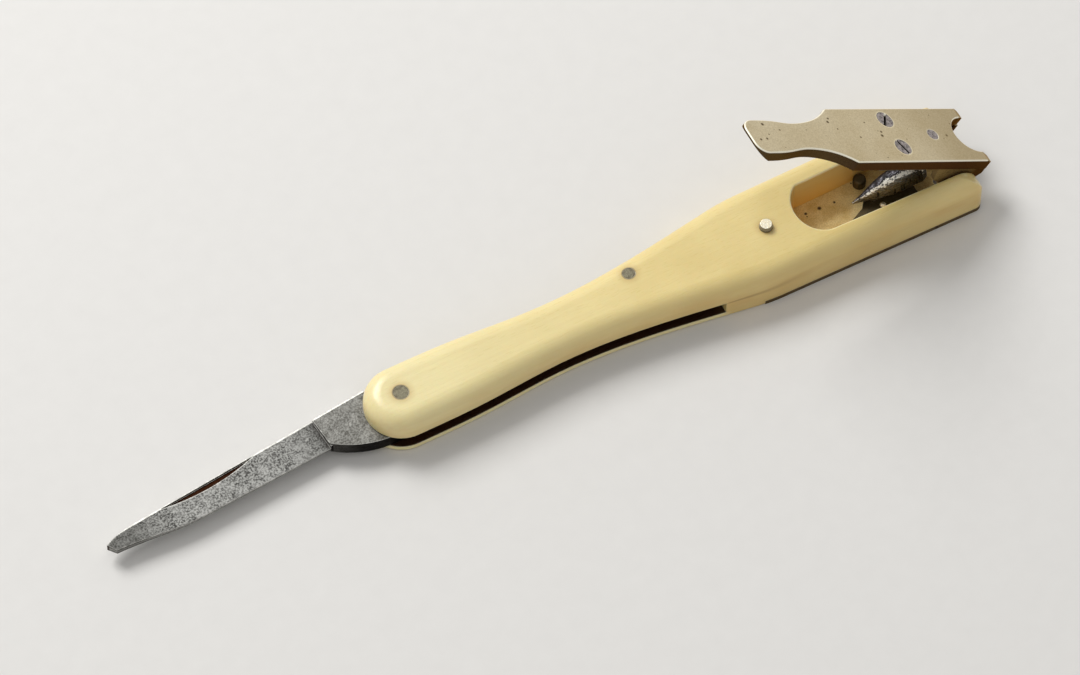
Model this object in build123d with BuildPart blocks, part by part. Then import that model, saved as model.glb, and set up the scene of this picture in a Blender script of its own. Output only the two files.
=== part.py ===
from build123d import *
from math import cos, radians, sin
import os

# Pocket quill cutter: a slotted ivory handle with a folding knife at one end, and at the other
# an open well where a hinged lever presses a cutter on a steel former to shape a nib.
# Millimetres. +X runs from the knife end to the hinge end, +Y to the back spring's side and
# +Z up. The origin is the centre of the handle's flat underside.

# Handle
handle_length = 95.6
handle_thickness = 7.0
knife_end_radius = 5.4
neck_half_width = 5.2
neck_from_pin = 11.0
waist_half_width = 4.45
waist_from_pin = 22.0
flare_half_width = 5.9
flare_before_swell = 15.0
shoulder_half_width = 7.25
shoulder_before_swell = 6.2
swell_half_width = 7.8
swell_from_end = 32.2
hinge_half_width = 8.1
side_round = 2.6
end_round = 1.3
end_nose = 3.3
under_round = 0.35
rim_round = 0.25

# Blade, its slot, pin and back spring
lower_scale = 1.05
tang_thickness = 2.15
blade_side_gap = 0.1
blade_turn = 6.1
blade_reach = 46.2
blade_fold_room = 2.4
spine_height = 5.1
spine_thickness = 1.5
edge_thickness = 0.25
heel_height = 0.15
belly_height = 0.95
belly_from_tip = 13.2
tip_top_height = 4.3
tip_low_height = 2.9
tip_slant = 0.8
tip_curve_length = 5.7
point_curve_height = 2.15
tang_length = 11.7
tang_heel_height = 0.5
tang_belly_forward = 8.2
tang_belly_depth = 2.06
tang_radius = 3.55
tang_shoulder = 3.1
nick_start = 21.5
nick_length = 15.5
nick_depth = 0.35
nick_width = 0.9
nick_rim = 0.12
blade_pin_radius = 1.1
pivot_clearance = 0.05
spring_gap = 0.15
spring_pin_radius = 0.9
spring_pin_from_blade_pin = 37.6
spring_pin_y = 2.3
spring_land = 1.6
spring_tail = 8.1
spring_neck_thickness = 2.0
spring_shoulder_before_pin = 2.7

# Base plate and its screws
plate_thickness = 0.8
plate_length = 35.7
plate_screw_radius = 0.55
plate_screw_length = 3.6
plate_screw_from_end = 4.0
plate_screw_pitch = 19.5
screw_head_height = 0.45
screw_slot_width = 0.32
screw_slot_runout = 0.5

# Lever and hinge
lever_open = 35.0
hinge_from_end = 3.5
hinge_height = 3.9
lever_gap = 0.8
lever_thickness = 1.8
lever_half_width = 5.1
horn_overhang = 4.0
horn_round = 0.6
horn_slope_start = 2.8
horn_slope_drop = 0.55
notch_radius = 3.3
notch_middle_back = 2.9
notch_mouth_half_width = 3.6
lever_shoulder = 24.0
lever_neck = 28.0
lever_neck_half_width = 3.05
lever_waist = 32.8
lever_waist_half_width = 2.43
tab_from_hinge = 39.4
tab_half_width = 3.07
tab_nose = 2.9
tab_corner_round = 1.9
tab_bevel_length = 2.6
tab_bevel_height = 1.35
lever_edge_round = 0.2
ear_inset = 0.3
ear_thickness = 0.92
ear_back = 4.0
ear_front = 5.9
ear_knee_forward = 5.0
ear_knee_height = 1.3
ear_back_height = 2.7
ear_heel_length = 0.6
ear_heel_inset = 1.75
ear_radius = 1.7
ear_gap = 0.08
lever_side_gap = 0.04
frame_ear_thickness = 0.65
frame_floor = 0.65
frame_length = 6.8
frame_from_end = 0.8
hinge_pin_radius = 0.75
frame_rivet_radius = 0.6
frame_rivet_half_pitch = 1.8
stud_from_hinge = 28.1
stud_radius = 0.85
stud_skirt_radius = 1.0
stud_skirt_height = 0.27

# Well
well_length = 26.8
well_flare = 0.47
well_nose = 4.0
well_far_inset = 0.45
well_far_straight = 8.2
well_far_return = 4.0

# Former and bed
former_from_end = 17.3
former_length = 11.6
former_tip_height = 2.6
former_base_height = 3.25
former_half_width = 1.8
former_height = 2.65
former_nose = 7.4
former_swell_power = 1.3
former_tip_share = 0.08
former_end_round = 0.9
former_end_shrink = 0.72
former_steps = 5
former_foot_half_width = 0.7
bed_thickness = 1.1
bed_side_gap = 0.12
bed_notch_back = 1.15
bed_notch_y = -1.0
bed_shoulder_back = 2.6
bed_shoulder_y = 1.0
bed_far_back = 5.2
bed_far_y = 2.0
bed_far_right_y = 2.9
bed_horn_forward = 1.0
bed_horn_y = -2.05
bed_near_forward = 1.8
bed_frame_gap = 0.1
bed_pin_radius = 0.48
bed_pin_rise = 0.3
bed_pin_offset = 1.85
bed_pin_back = 4.1
bed_pin_pitch = 3.6
former_screw_radius = 0.5
former_screw_back = 4.6
former_screw_pitch = 3.6
former_screw_grip = 0.9
well_stud_back = 3.15
well_stud_y = 3.4
well_stud_radius = 0.95
well_stud_shank_radius = 0.5
well_stud_height = 1.6
well_stud_round = 0.3

# Cutter under the lever
cutter_start = 7.3
cutter_length = 9.5
cutter_flange_half_width = 4.0
cutter_flange = 1.3
cutter_half_width = 2.6
cutter_depth = 2.3
cutter_clearance = 0.12
cutter_lead = 0.48
cutter_screw_forward = 13.05
cutter_screw_half_pitch = 2.63
cutter_screw_shift = 0.3
cutter_screw_head_radius = 1.43
cutter_screw_radius = 0.7
cutter_screw_slot = 0.38
cutter_slot_depth = 0.45
cutter_slot_turns = (110, 55)
slitter_forward = 5.2
slitter_foot_length = 3.8
slitter_foot_half_width = 1.3
slitter_foot = 0.8
slitter_fin_thickness = 0.36
slitter_fin_depth = 1.6
slitter_fin_length = 7.0
slitter_rivet_radius = 0.95

# Places worked out from the sizes above
left_x = -handle_length / 2
right_x = handle_length / 2
blade_pin_x = left_x + knife_end_radius
swell_x = right_x - swell_from_end
slot_height = tang_thickness + 2 * blade_side_gap
slot_middle = lower_scale + slot_height / 2
slot_end_x = blade_pin_x + blade_reach + blade_fold_room
spring_pin_x = blade_pin_x + spring_pin_from_blade_pin
spring_end_x = spring_pin_x + spring_tail
plate_left_x = right_x - plate_length
hinge_x = right_x - hinge_from_end
lever_rise = handle_thickness + lever_gap - hinge_height
stud_x = hinge_x - stud_from_hinge
well_half_width = lever_half_width + lever_side_gap
well_left_half_width = well_half_width - well_flare
well_nose_x = right_x - well_length + well_nose
well_turn_x = well_nose_x + well_far_straight
ear_outer = lever_half_width - ear_inset
ear_inner = ear_outer - ear_thickness
frame_ear_outer = ear_inner - ear_gap
frame_ear_inner = frame_ear_outer - frame_ear_thickness
frame_left_x = right_x - frame_from_end - frame_length
former_tip_x = right_x - former_from_end
bed_top = plate_thickness + bed_thickness
beyond = handle_length

cos_open = cos(radians(lever_open))
sin_open = sin(radians(lever_open))
lever_plane = Plane(
    origin=(hinge_x, 0, hinge_height), x_dir=(-cos_open, 0, sin_open), z_dir=(sin_open, 0, cos_open)
)
blade_plane = Plane(
    origin=(blade_pin_x, 0, slot_middle),
    x_dir=(-cos(radians(blade_turn)), -sin(radians(blade_turn)), 0),
    z_dir=(0, 0, -1),
)


def ear_plane(y):
    """Upright plane along the lever, at one side of it."""
    return Plane(origin=(hinge_x, y, hinge_height), x_dir=(-cos_open, 0, sin_open), z_dir=(0, 1, 0))


def well_half_at(x):
    """Half the well's width at one place along the handle."""
    share = (x - well_nose_x) / (right_x - well_nose_x)
    return well_left_half_width + well_flare * share


def former_share_at(back):
    """How much of its full section the former has, so far back from its tip."""
    swell = sin(radians(90 * min(back / former_nose, 1))) ** former_swell_power
    return former_tip_share + (1 - former_tip_share) * swell


def former_half_at(back):
    """Half the former's width, so far back from its tip: it widens like a nib, then runs level."""
    return former_half_width * former_share_at(back)


def finish(part, label):
    """Name a finished piece and write its file."""
    part.label = label
    export_step(part, f"parts/{label}.step")


os.makedirs("parts", exist_ok=True)

# The handle's outline, used by the handle, the base plate and the back spring
with BuildSketch() as outline:
    with BuildLine():
        side = Spline(
            (blade_pin_x, knife_end_radius),
            (blade_pin_x + neck_from_pin, neck_half_width),
            (blade_pin_x + waist_from_pin, waist_half_width),
            (swell_x - flare_before_swell, flare_half_width),
            (swell_x - shoulder_before_swell, shoulder_half_width),
            (swell_x, swell_half_width),
            tangents=[(1, 0), (1, 0)],
        )
        Line(side @ 1, (right_x, hinge_half_width))
        Line((right_x, hinge_half_width), (right_x, -hinge_half_width))
        Line((right_x, -hinge_half_width), (swell_x, -swell_half_width))
        mirror(side, about=Plane.XZ)
        ThreePointArc(
            (blade_pin_x, knife_end_radius), (left_x, 0), (blade_pin_x, -knife_end_radius)
        )
    make_face()

plate_screw_places = [
    (x, y * (well_half_at(x) + hinge_half_width) / 2)
    for x in (right_x - plate_screw_from_end, right_x - plate_screw_from_end - plate_screw_pitch)
    for y in (1, -1)
]
former_screw_places = [
    (former_tip_x + former_screw_back, 0),
    (former_tip_x + former_screw_back + former_screw_pitch, 0),
]
bed_pin_places = [
    (former_tip_x + bed_pin_back, -bed_pin_offset),
    (former_tip_x + bed_pin_back + bed_pin_pitch, bed_pin_offset),
]
well_stud_place = (former_tip_x + well_stud_back, well_stud_y)
frame_middle_x = frame_left_x + frame_length / 2
frame_rivet_places = [(frame_middle_x, frame_rivet_half_pitch), (frame_middle_x, -frame_rivet_half_pitch)]

# Handle, one piece of ivory: slotted for the blade, cut through for the well
with BuildPart() as handle:
    add(outline.sketch)
    extrude(amount=handle_thickness)
    long_edges = handle.faces().sort_by(Axis.Z)[-1].edges().filter_by(
        lambda edge: edge.center().X < right_x - end_round
    )
    fillet(long_edges, radius=side_round)
    end_face = handle.faces().sort_by(Axis.X)[-1]
    fillet(end_face.edges().filter_by(lambda edge: edge.center().Z > under_round), radius=end_round)
    fillet(handle.faces().sort_by(Axis.Z)[0].edges(), radius=under_round)
    with BuildSketch(Plane.XZ):
        with BuildLine():
            end_arc = CenterArc((right_x - end_nose, handle_thickness - end_nose), end_nose, 0, 90)
            Polyline(
                end_arc @ 1,
                (right_x - end_nose, beyond),
                (beyond, beyond),
                (beyond, handle_thickness - end_nose),
                end_arc @ 0,
            )
        make_face()
    extrude(amount=beyond, both=True, mode=Mode.SUBTRACT)
    with BuildSketch():
        with BuildLine():
            nose = EllipticalCenterArc(
                (well_nose_x, 0), well_nose, well_left_half_width, start_angle=90, arc_size=180
            )
            Polyline(
                nose @ 1,
                (right_x, -well_half_width),
                (beyond, -well_half_width),
                (beyond, well_half_width),
                (right_x, well_half_width),
                nose @ 0,
            )
        make_face()
        with BuildLine():
            Polyline(
                (left_x, well_half_at(well_nose_x) - well_far_inset),
                (well_nose_x, well_half_at(well_nose_x) - well_far_inset),
                (well_turn_x, well_half_at(well_turn_x) - well_far_inset),
                (well_turn_x + well_far_return, well_half_at(well_turn_x + well_far_return)),
                (well_turn_x + well_far_return, beyond),
                (left_x, beyond),
                close=True,
            )
        make_face(mode=Mode.SUBTRACT)
    extrude(amount=handle_thickness, mode=Mode.SUBTRACT)
    rim = handle.faces().sort_by(Axis.Z)[-1].edges().filter_by(
        lambda edge: abs(edge.center().Y) < well_half_width + under_round
        and edge.center().X > right_x - well_length - rim_round
    )
    fillet(rim, radius=rim_round)
    with BuildSketch(Plane.XY.offset(lower_scale)):
        with BuildLine():
            Polyline(
                (-beyond, -beyond),
                (slot_end_x, -beyond),
                (slot_end_x, 0),
                (spring_end_x, spring_pin_y - spring_land),
                (spring_end_x, beyond),
                (-beyond, beyond),
                close=True,
            )
        make_face()
    extrude(amount=slot_height, mode=Mode.SUBTRACT)
    with BuildSketch():
        with Locations(((plate_left_x + beyond) / 2, 0)):
            Rectangle(beyond - plate_left_x, 2 * beyond)
    extrude(amount=plate_thickness, mode=Mode.SUBTRACT)
    with BuildSketch():
        with Locations((blade_pin_x, 0)):
            Circle(blade_pin_radius)
        with Locations((spring_pin_x, spring_pin_y)):
            Circle(spring_pin_radius)
        with Locations((stud_x, 0)):
            Circle(stud_radius)
    extrude(amount=handle_thickness, mode=Mode.SUBTRACT)
    with BuildSketch():
        with Locations(*plate_screw_places):
            Circle(plate_screw_radius)
    extrude(amount=plate_screw_length, mode=Mode.SUBTRACT)
finish(handle.part, "handle")

# Base plate: closes the well from below and is flush with the ivory all round
with BuildPart() as base_plate:
    with BuildSketch():
        add(outline.sketch)
        with Locations(((plate_left_x - beyond) / 2, 0)):
            Rectangle(plate_left_x + beyond, 2 * beyond, mode=Mode.SUBTRACT)
    extrude(amount=plate_thickness)
    right_corners = base_plate.edges().filter_by(Axis.Z).sort_by(Axis.X)[-2:]
    fillet(right_corners, radius=end_round)
    with Locations(*[Plane((x, y, 0), z_dir=(0, 0, -1)) for x, y in plate_screw_places]):
        CounterSinkHole(plate_screw_radius, plate_screw_radius + screw_head_height)
    with Locations(*[Plane((x, y, 0), z_dir=(0, 0, -1)) for x, y in former_screw_places]):
        CounterSinkHole(former_screw_radius, former_screw_radius + screw_head_height)
    with Locations(*bed_pin_places):
        Hole(bed_pin_radius)
    with Locations(*frame_rivet_places):
        Hole(frame_rivet_radius)
    with Locations((stud_x, 0)):
        Hole(stud_radius)
    with Locations(well_stud_place):
        Hole(well_stud_shank_radius)
finish(base_plate.part, "base_plate")


def countersunk_screw(places, radius, length):
    """Screws driven upwards from the underside, their slotted heads flush with the plate."""
    slot_length = 2 * (radius + screw_head_height + screw_slot_runout)
    with BuildPart() as screws:
        for x, y in places:
            with BuildSketch(Plane.XZ.offset(-y)):
                with BuildLine():
                    Polyline(
                        (x, 0),
                        (x + radius + screw_head_height, 0),
                        (x + radius, screw_head_height),
                        (x + radius, length),
                        (x, length),
                        close=True,
                    )
                make_face()
            revolve(axis=Axis((x, y, 0), (0, 0, 1)))
            with BuildSketch():
                with Locations((x, y)):
                    Rectangle(slot_length, screw_slot_width)
            extrude(amount=screw_head_height / 2, mode=Mode.SUBTRACT)
    return screws.part


finish(countersunk_screw(plate_screw_places, plate_screw_radius, plate_screw_length), "plate_screws")

# Bed: a steel plate on the well's floor, its forked end towards the knife
bed_right_x = frame_left_x - bed_frame_gap
bed_near_x = former_tip_x - bed_near_forward
with BuildPart() as bed:
    with BuildSketch(Plane.XY.offset(plate_thickness)):
        with BuildLine():
            Polyline(
                (former_tip_x + bed_far_back, bed_far_y),
                (former_tip_x + bed_shoulder_back, bed_shoulder_y),
                (former_tip_x + bed_notch_back, bed_notch_y),
                (former_tip_x - bed_horn_forward, bed_horn_y),
                (bed_near_x, bed_side_gap - well_half_at(bed_near_x)),
                (bed_right_x, bed_side_gap - well_half_at(bed_right_x)),
                (bed_right_x, bed_far_right_y),
                close=True,
            )
        make_face()
    extrude(amount=bed_thickness)
    with Locations(*former_screw_places):
        Hole(former_screw_radius)
    with Locations(*bed_pin_places):
        Hole(bed_pin_radius)
finish(bed.part, "bed")

# Bed pins: driven through plate and bed, rounded over on top
cap_radius = (bed_pin_radius**2 + bed_pin_rise**2) / (2 * bed_pin_rise)
cap_drop = bed_pin_rise - cap_radius + (cap_radius**2 - (bed_pin_radius / 2) ** 2) ** 0.5
with BuildPart() as bed_pins:
    for pin_x, pin_y in bed_pin_places:
        with BuildSketch(Plane.XZ.offset(-pin_y)):
            with BuildLine():
                Polyline(
                    (pin_x, bed_top + bed_pin_rise),
                    (pin_x, 0),
                    (pin_x + bed_pin_radius, 0),
                    (pin_x + bed_pin_radius, bed_top),
                )
                ThreePointArc(
                    (pin_x + bed_pin_radius, bed_top),
                    (pin_x + bed_pin_radius / 2, bed_top + cap_drop),
                    (pin_x, bed_top + bed_pin_rise),
                )
            make_face()
        revolve(axis=Axis((pin_x, pin_y, 0), (0, 0, 1)))
finish(bed_pins.part, "bed_pins")

# Well stud: a dark steel stud riveted through the plate, close by the well's far wall
stud_place_x, stud_place_y = well_stud_place
with BuildPart() as well_stud:
    with BuildSketch(Plane.XZ.offset(-stud_place_y)):
        Polygon(
            (stud_place_x, 0),
            (stud_place_x + well_stud_shank_radius, 0),
            (stud_place_x + well_stud_shank_radius, plate_thickness),
            (stud_place_x + well_stud_radius, plate_thickness),
            (stud_place_x + well_stud_radius, plate_thickness + well_stud_height),
            (stud_place_x, plate_thickness + well_stud_height),
            align=None,
        )
    revolve(axis=Axis((stud_place_x, stud_place_y, 0), (0, 0, 1)))
    fillet(well_stud.faces().sort_by(Axis.Z)[-1].edges(), radius=well_stud_round)
finish(well_stud.part, "well_stud")


def former_section(back, shrink=1.0):
    """One arched section of the former, so far back from its tip, which is also its lowest place."""
    share = former_share_at(back)
    underside = former_tip_height + (former_base_height - former_tip_height) * share
    with BuildSketch(Plane.YZ.offset(former_tip_x + back)) as section:
        with BuildLine():
            crown = EllipticalCenterArc(
                (0, underside),
                shrink * share * former_half_width,
                shrink * share * former_height,
                start_angle=0,
                arc_size=180,
            )
            Line(crown @ 1, crown @ 0)
        make_face()
    return section.sketch


# Former: the nib-shaped steel die that the quill is slid over, on its narrow foot
former_straight = former_length - former_end_round
with BuildPart() as former:
    for step in range(former_steps + 1):
        add(former_section(former_straight * step / former_steps))
    loft()
    add(former_section(former_straight))
    add(former_section(former_length, former_end_shrink))
    loft()
    foot_left_x = former_tip_x + former_screw_back - 2 * former_screw_radius - former_screw_grip
    with BuildSketch(Plane.XY.offset(bed_top)):
        with Locations(((foot_left_x + bed_right_x) / 2, 0)):
            Rectangle(bed_right_x - foot_left_x, 2 * former_foot_half_width)
    extrude(amount=former_base_height - bed_top)
    with BuildSketch(Plane.XY.offset(bed_top)):
        with Locations(*former_screw_places):
            Circle(former_screw_radius)
    extrude(amount=former_base_height - bed_top + former_screw_grip, mode=Mode.SUBTRACT)
finish(former.part, "former")

former_screw_length = former_base_height + former_screw_grip
finish(countersunk_screw(former_screw_places, former_screw_radius, former_screw_length), "former_screws")

# Hinge frame: a folded bracket on the plate, whose two ears carry the hinge pins
with BuildPart() as hinge_frame:
    with BuildSketch(Plane.XY.offset(plate_thickness)):
        with Locations((frame_middle_x, 0)):
            Rectangle(frame_length, 2 * frame_ear_outer)
    extrude(amount=frame_floor)
    with BuildSketch(Plane.XZ.offset(-frame_ear_outer)) as ear_sketch:
        with BuildLine():
            ear_arc = CenterArc((hinge_x, hinge_height), ear_radius, 0, 180)
            Polyline(
                ear_arc @ 1,
                (hinge_x - ear_radius, plate_thickness),
                (hinge_x + ear_radius, plate_thickness),
                ear_arc @ 0,
            )
        make_face()
        with Locations((hinge_x, hinge_height)):
            Circle(hinge_pin_radius, mode=Mode.SUBTRACT)
    extrude(amount=frame_ear_thickness)
    mirror(about=Plane.XZ)
    with Locations(*frame_rivet_places):
        Hole(frame_rivet_radius)
finish(hinge_frame.part, "hinge_frame")

# Frame rivets: flush with the plate below and with the frame's floor above
with BuildPart() as frame_rivets:
    with BuildSketch():
        with Locations(*frame_rivet_places):
            Circle(frame_rivet_radius)
    extrude(amount=plate_thickness + frame_floor)
finish(frame_rivets.part, "frame_rivets")

# Hinge pins: one short pin at each side, so that the quill can pass between them
with BuildPart() as hinge_pins:
    with BuildSketch(Plane.XZ.offset(-ear_outer)):
        with Locations((hinge_x, hinge_height)):
            Circle(hinge_pin_radius)
    extrude(amount=ear_outer - frame_ear_inner)
    mirror(about=Plane.XZ)
finish(hinge_pins.part, "hinge_pins")

# Rest stud: a nickel rivet through ivory and plate, on which the closed lever lies
with BuildPart() as rest_stud:
    with BuildSketch(Plane.XZ):
        with BuildLine():
            Polyline(
                (stud_x, 0),
                (stud_x + stud_radius, 0),
                (stud_x + stud_radius, handle_thickness),
                (stud_x + stud_skirt_radius, handle_thickness),
                (stud_x + stud_skirt_radius, handle_thickness + stud_skirt_height),
                (stud_x + stud_radius, handle_thickness + lever_gap),
                (stud_x, handle_thickness + lever_gap),
                close=True,
            )
        make_face()
    revolve(axis=Axis((stud_x, 0, 0), (0, 0, 1)))
finish(rest_stud.part, "rest_stud")

# Blade pin and spring pin: steel, filed flush with the ivory on both sides
with BuildPart() as blade_pin:
    with BuildSketch():
        with Locations((blade_pin_x, 0)):
            Circle(blade_pin_radius)
    extrude(amount=handle_thickness)
finish(blade_pin.part, "blade_pin")

with BuildPart() as spring_pin:
    with BuildSketch():
        with Locations((spring_pin_x, spring_pin_y)):
            Circle(spring_pin_radius)
    extrude(amount=handle_thickness)
finish(spring_pin.part, "spring_pin")

# Back spring: flush with the handle's back, its free end against the tang's shoulder
spring_tip_x = blade_pin_x - tang_shoulder - spring_gap
spring_tip_y = tang_radius + spring_gap
spring_low_y = spring_pin_y - spring_land
with BuildPart() as back_spring:
    with BuildSketch(Plane.XY.offset(lower_scale)):
        with BuildLine():
            Polyline(
                (spring_tip_x, beyond),
                (spring_tip_x, spring_tip_y),
                (blade_pin_x + tang_radius, spring_tip_y),
                (blade_pin_x + waist_from_pin, waist_half_width - spring_neck_thickness),
                (spring_pin_x - spring_shoulder_before_pin, spring_low_y),
                (spring_end_x, spring_low_y),
                (spring_end_x, beyond),
                close=True,
            )
        make_face()
        add(outline.sketch, mode=Mode.INTERSECT)
    extrude(amount=slot_height)
    with Locations((spring_pin_x, spring_pin_y)):
        Hole(spring_pin_radius)
finish(back_spring.part, "back_spring")

blade_section = Plane(
    origin=blade_plane.from_local_coords(Vector(tang_length, 0, 0)),
    x_dir=blade_plane.y_dir,
    z_dir=blade_plane.x_dir,
)

# Knife blade: a thick round-backed tang, then a wedge with a blunt spear point and a nail nick
with BuildPart() as knife_blade:
    with BuildSketch(blade_plane):
        with BuildLine():
            near_arc = ThreePointArc(
                (tang_length, tang_heel_height),
                (tang_belly_forward, -tang_belly_depth),
                (0, -tang_radius),
            )
            back_arc = ThreePointArc((0, -tang_radius), (-tang_radius, 0), (0, tang_radius))
            Polyline(
                back_arc @ 1,
                (tang_shoulder, tang_radius),
                (tang_shoulder, spine_height),
                (tang_length, spine_height),
                (tang_length, tang_heel_height),
            )
        make_face()
    extrude(amount=tang_thickness / 2, both=True)
    with BuildSketch(blade_plane) as blade_shape:
        with BuildLine():
            spine = Line(
                (tang_shoulder + blade_pin_radius, spine_height),
                (blade_reach - tip_curve_length, spine_height),
            )
            nose_curve = Spline(
                spine @ 1, (blade_reach, tip_top_height), tangents=[(1, 0), (1, -0.45)]
            )
            nose_end = Line(nose_curve @ 1, (blade_reach - tip_slant, tip_low_height))
            low_curve = Spline(
                nose_end @ 1,
                (blade_reach - tip_curve_length, point_curve_height),
                (blade_reach - belly_from_tip, belly_height),
                tangents=[(-1, -0.1), (-1, -0.06)],
            )
            Polyline(
                low_curve @ 1,
                (tang_length, heel_height),
                (tang_shoulder + blade_pin_radius, heel_height),
                spine @ 0,
            )
        make_face()
    extrude(amount=spine_thickness / 2, both=True)
    for face in (1, -1):
        with BuildSketch(blade_section):
            with BuildLine():
                Polyline(
                    (spine_height, face * spine_thickness / 2),
                    (heel_height, face * edge_thickness / 2),
                    (-tang_radius, face * edge_thickness / 2),
                    (-tang_radius, face * tang_thickness),
                    (spine_height, face * tang_thickness),
                    close=True,
                )
            make_face()
        extrude(amount=blade_reach, mode=Mode.SUBTRACT)
    with BuildSketch(blade_plane.offset(-spine_thickness / 2)):
        with BuildLine():
            nick_top = Line(
                (nick_start, spine_height - nick_rim),
                (nick_start + nick_length, spine_height - nick_rim),
            )
            ThreePointArc(
                nick_top @ 1,
                (nick_start + nick_length / 2, spine_height - nick_rim - nick_width),
                nick_top @ 0,
            )
        make_face()
    extrude(amount=nick_depth, mode=Mode.SUBTRACT)
    with BuildSketch(blade_plane):
        Circle(blade_pin_radius + pivot_clearance)
    extrude(amount=tang_thickness, both=True, mode=Mode.SUBTRACT)
finish(knife_blade.part, "knife_blade")


def on_lever(forward, across, rise):
    """Plane square to the lever, at a place counted from the hinge pins."""
    return Plane(
        origin=lever_plane.from_local_coords(Vector(forward, across, rise)),
        x_dir=lever_plane.x_dir,
        z_dir=lever_plane.z_dir,
    )


lever_top = lever_rise + lever_thickness
tab_end = tab_from_hinge + tab_nose
cutter_screw_places = [
    (cutter_screw_forward, cutter_screw_half_pitch - cutter_screw_shift),
    (cutter_screw_forward, -cutter_screw_half_pitch - cutter_screw_shift),
]

# Lever: a nickel silver plate with a finger tab, a quill notch and two hinge ears beneath
with BuildPart() as lever:
    with BuildSketch(lever_plane.offset(lever_rise)) as lever_shape:
        with BuildLine():
            straight = Line((-horn_overhang, lever_half_width), (lever_shoulder, lever_half_width))
            sweep_in = Spline(
                straight @ 1,
                (lever_neck, lever_neck_half_width),
                (lever_waist, lever_waist_half_width),
                (tab_from_hinge, tab_half_width),
                tangents=[(1, -0.75), (1, 0)],
            )
            mirror(straight, about=Plane.XZ)
            mirror(sweep_in, about=Plane.XZ)
            Polyline(
                (tab_from_hinge, tab_half_width),
                (tab_end, tab_half_width),
                (tab_end, -tab_half_width),
                (tab_from_hinge, -tab_half_width),
            )
            Line((-horn_overhang, lever_half_width), (-horn_overhang, -lever_half_width))
        make_face()
        with Locations((-notch_middle_back, 0)):
            Circle(notch_radius, mode=Mode.SUBTRACT)
        with BuildLine():
            Polyline(
                (-notch_middle_back, -notch_radius),
                (-horn_overhang, -notch_mouth_half_width),
                (-horn_overhang, notch_mouth_half_width),
                (-notch_middle_back, notch_radius),
                close=True,
            )
        make_face(mode=Mode.SUBTRACT)
        horn_corners = lever_shape.vertices().filter_by(
            lambda corner: corner.X < 0 and abs(corner.Y) > lever_half_width - horn_round / 2
        )
        fillet(horn_corners, radius=horn_round)
        fillet(lever_shape.vertices().sort_by(Axis.X)[-2:], radius=tab_corner_round)
    extrude(amount=lever_thickness)
    fillet(lever.faces().sort_by(Axis((0, 0, 0), lever_plane.z_dir))[-1].edges(), radius=lever_edge_round)
    with BuildSketch(ear_plane(0)):
        with BuildLine():
            Polyline(
                (-horn_slope_start, lever_top),
                (-horn_overhang, lever_top - horn_slope_drop),
                (-horn_overhang, lever_top),
                close=True,
            )
        make_face()
    extrude(amount=lever_half_width, both=True, mode=Mode.SUBTRACT)
    with BuildSketch(ear_plane(0)):
        with BuildLine():
            Polyline(
                (tab_end - tab_bevel_length, lever_rise),
                (tab_end, lever_rise + tab_bevel_height),
                (tab_end, lever_rise),
                close=True,
            )
        make_face()
    extrude(amount=lever_half_width, both=True, mode=Mode.SUBTRACT)
    for ear_y in (-ear_outer, ear_inner):
        with BuildSketch(ear_plane(ear_y)):
            with BuildLine():
                Polyline(
                    (-ear_back, lever_rise),
                    (ear_front, lever_rise),
                    (ear_knee_forward, ear_knee_height),
                    (ear_radius, 0),
                    (-ear_radius, 0),
                    (-ear_back, ear_back_height),
                    close=True,
                )
            make_face()
            Circle(ear_radius)
            Circle(hinge_pin_radius + pivot_clearance, mode=Mode.SUBTRACT)
        extrude(amount=ear_thickness)
    for heel_y in (-ear_outer, lever_half_width - ear_heel_inset):
        with BuildSketch(ear_plane(heel_y)):
            with Locations((-ear_back, lever_rise)):
                Rectangle(ear_heel_length, lever_rise - ear_back_height, align=(Align.MIN, Align.MAX))
        extrude(amount=ear_outer + ear_heel_inset - lever_half_width)
    with Locations(*[on_lever(x, y, lever_top) for x, y in cutter_screw_places]):
        CounterSinkHole(cutter_screw_radius, cutter_screw_head_radius, lever_thickness, 90)
    with Locations(on_lever(slitter_forward, 0, lever_top)):
        Hole(slitter_rivet_radius, lever_thickness)
finish(lever.part, "lever")

# Cutter screws: slotted, countersunk flush with the lever's face
head_drop = cutter_screw_head_radius - cutter_screw_radius
cutter_slot_length = 2 * (cutter_screw_head_radius + screw_slot_runout)
with BuildPart() as cutter_screws:
    for (x, y), slot_turn in zip(cutter_screw_places, cutter_slot_turns):
        with BuildSketch(ear_plane(-y)):
            with BuildLine():
                Polyline(
                    (x, lever_top),
                    (x + cutter_screw_head_radius, lever_top),
                    (x + cutter_screw_radius, lever_top - head_drop),
                    (x + cutter_screw_radius, lever_rise - cutter_flange),
                    (x, lever_rise - cutter_flange),
                    close=True,
                )
            make_face()
        screw_top = on_lever(x, y, lever_top)
        revolve(axis=Axis(screw_top.origin, lever_plane.z_dir))
        with BuildSketch(screw_top):
            Rectangle(cutter_slot_length, cutter_screw_slot, rotation=slot_turn)
        extrude(amount=-cutter_slot_depth, mode=Mode.SUBTRACT)
finish(cutter_screws.part, "cutter_screws")

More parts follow.
